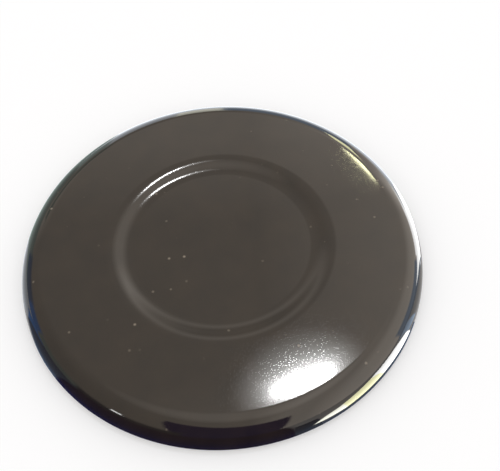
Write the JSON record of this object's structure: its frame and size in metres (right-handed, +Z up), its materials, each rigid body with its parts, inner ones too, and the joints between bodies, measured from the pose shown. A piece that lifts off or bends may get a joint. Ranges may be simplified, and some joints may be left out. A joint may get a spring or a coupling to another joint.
{
  "type": "gas burner cap",
  "caption": "Round enamelled cap for a gas hob burner, with a shallow central dish, a flat ring that rests on the burner crown and a rolled edge ending in a short rim.",
  "frame": {"origin": "centre of the plane that the rim's foot stands on", "axes": "+Z up along the cap's axis of symmetry, from the rim's foot to the dished top; X and Y are free, because the cap is round"},
  "size_m": [0.0999, 0.1, 0.0069],
  "materials": {
    "enamel": "glossy vitreous enamel, near-black brown, fired on pressed steel sheet"
  },
  "bodies": {
    "root": {"burner_cap": "enamel"}
  },
  "joints": []
}
